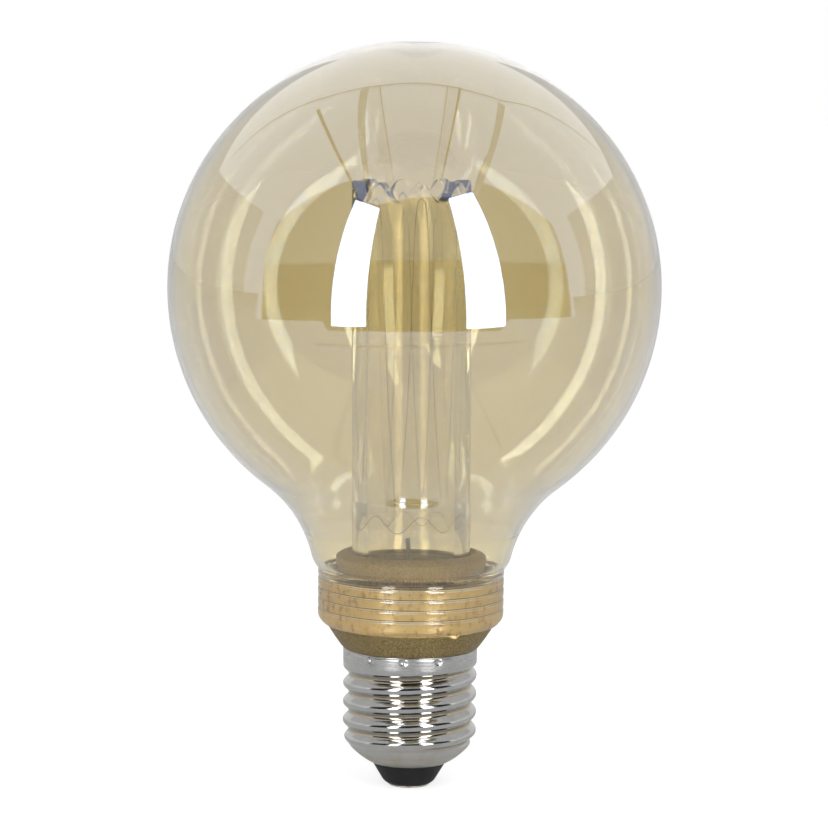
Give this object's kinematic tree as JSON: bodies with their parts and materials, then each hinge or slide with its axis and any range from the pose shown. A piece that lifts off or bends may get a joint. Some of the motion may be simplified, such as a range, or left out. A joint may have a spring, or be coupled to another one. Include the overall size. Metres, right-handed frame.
{
  "type": "globe bulb",
  "caption": "Amber glass globe bulb with a screw cap, a matt gold base and a clear etched light guide tube standing in a collar.",
  "frame": {"origin": "on the bulb's axis, at the face of the centre contact", "axes": "+Z from the contact up to the crown of the globe, bulb upright with its cap below; +Y away from the picture's camera"},
  "size_m": [0.095, 0.095, 0.1445],
  "materials": {
    "nickel_plate": "bright nickel-plated brass sheet, satin on the bowl",
    "black_insulator": "black moulded insulator, smooth",
    "contact_metal": "pale plated contact, satin",
    "gold_paint": "matt gold paint with fine sparkle",
    "amber_glue": "amber setting glue, smooth",
    "amber_glass": "clear amber glass with a half-mirror coating, polished",
    "drawn_aluminium": "drawn sheet, satin",
    "white_board": "white solder mask",
    "yellow_chip": "yellow phosphor",
    "clear_acrylic": "clear acrylic, polished, etched inside",
    "green_board": "green solder mask",
    "black_sleeve": "shrunk sleeve, smooth",
    "ferrite": "pressed and fired, matt",
    "copper_wire": "enamelled winding",
    "yellow_box": "moulded box, smooth",
    "black_moulding": "moulded, matt",
    "pale_sleeve": "pale sleeve, smooth",
    "tinned_wire": "tinned wire",
    "solder": "solder, bright",
    "green_lacquer": "lacquered, smooth"
  },
  "bodies": {
    "root": {"cap_shell": "nickel_plate", "cap_insulator": "black_insulator", "centre_contact": "contact_metal", "base_housing": "gold_paint", "neck_adhesive": "amber_glue", "globe_envelope": "amber_glass", "heat_sink": "drawn_aluminium", "led_board": "white_board", "led_chips": "yellow_chip", "light_guide_collar": "gold_paint", "centre_ring": "gold_paint", "light_guide_tube": "clear_acrylic", "driver_board": "green_board", "electrolytic_capacitor": "black_sleeve", "choke_core": "ferrite", "choke_winding": "copper_wire", "film_capacitor": "yellow_box", "bridge_rectifier": "black_moulding", "driver_chip": "black_moulding", "chip_resistors": "black_moulding", "led_feed_lead": "pale_sleeve", "led_return_lead": "tinned_wire", "led_solder_joints": "solder", "fuse_resistor": "green_lacquer", "contact_lead": "tinned_wire", "shell_lead": "tinned_wire"}
  },
  "joints": []
}
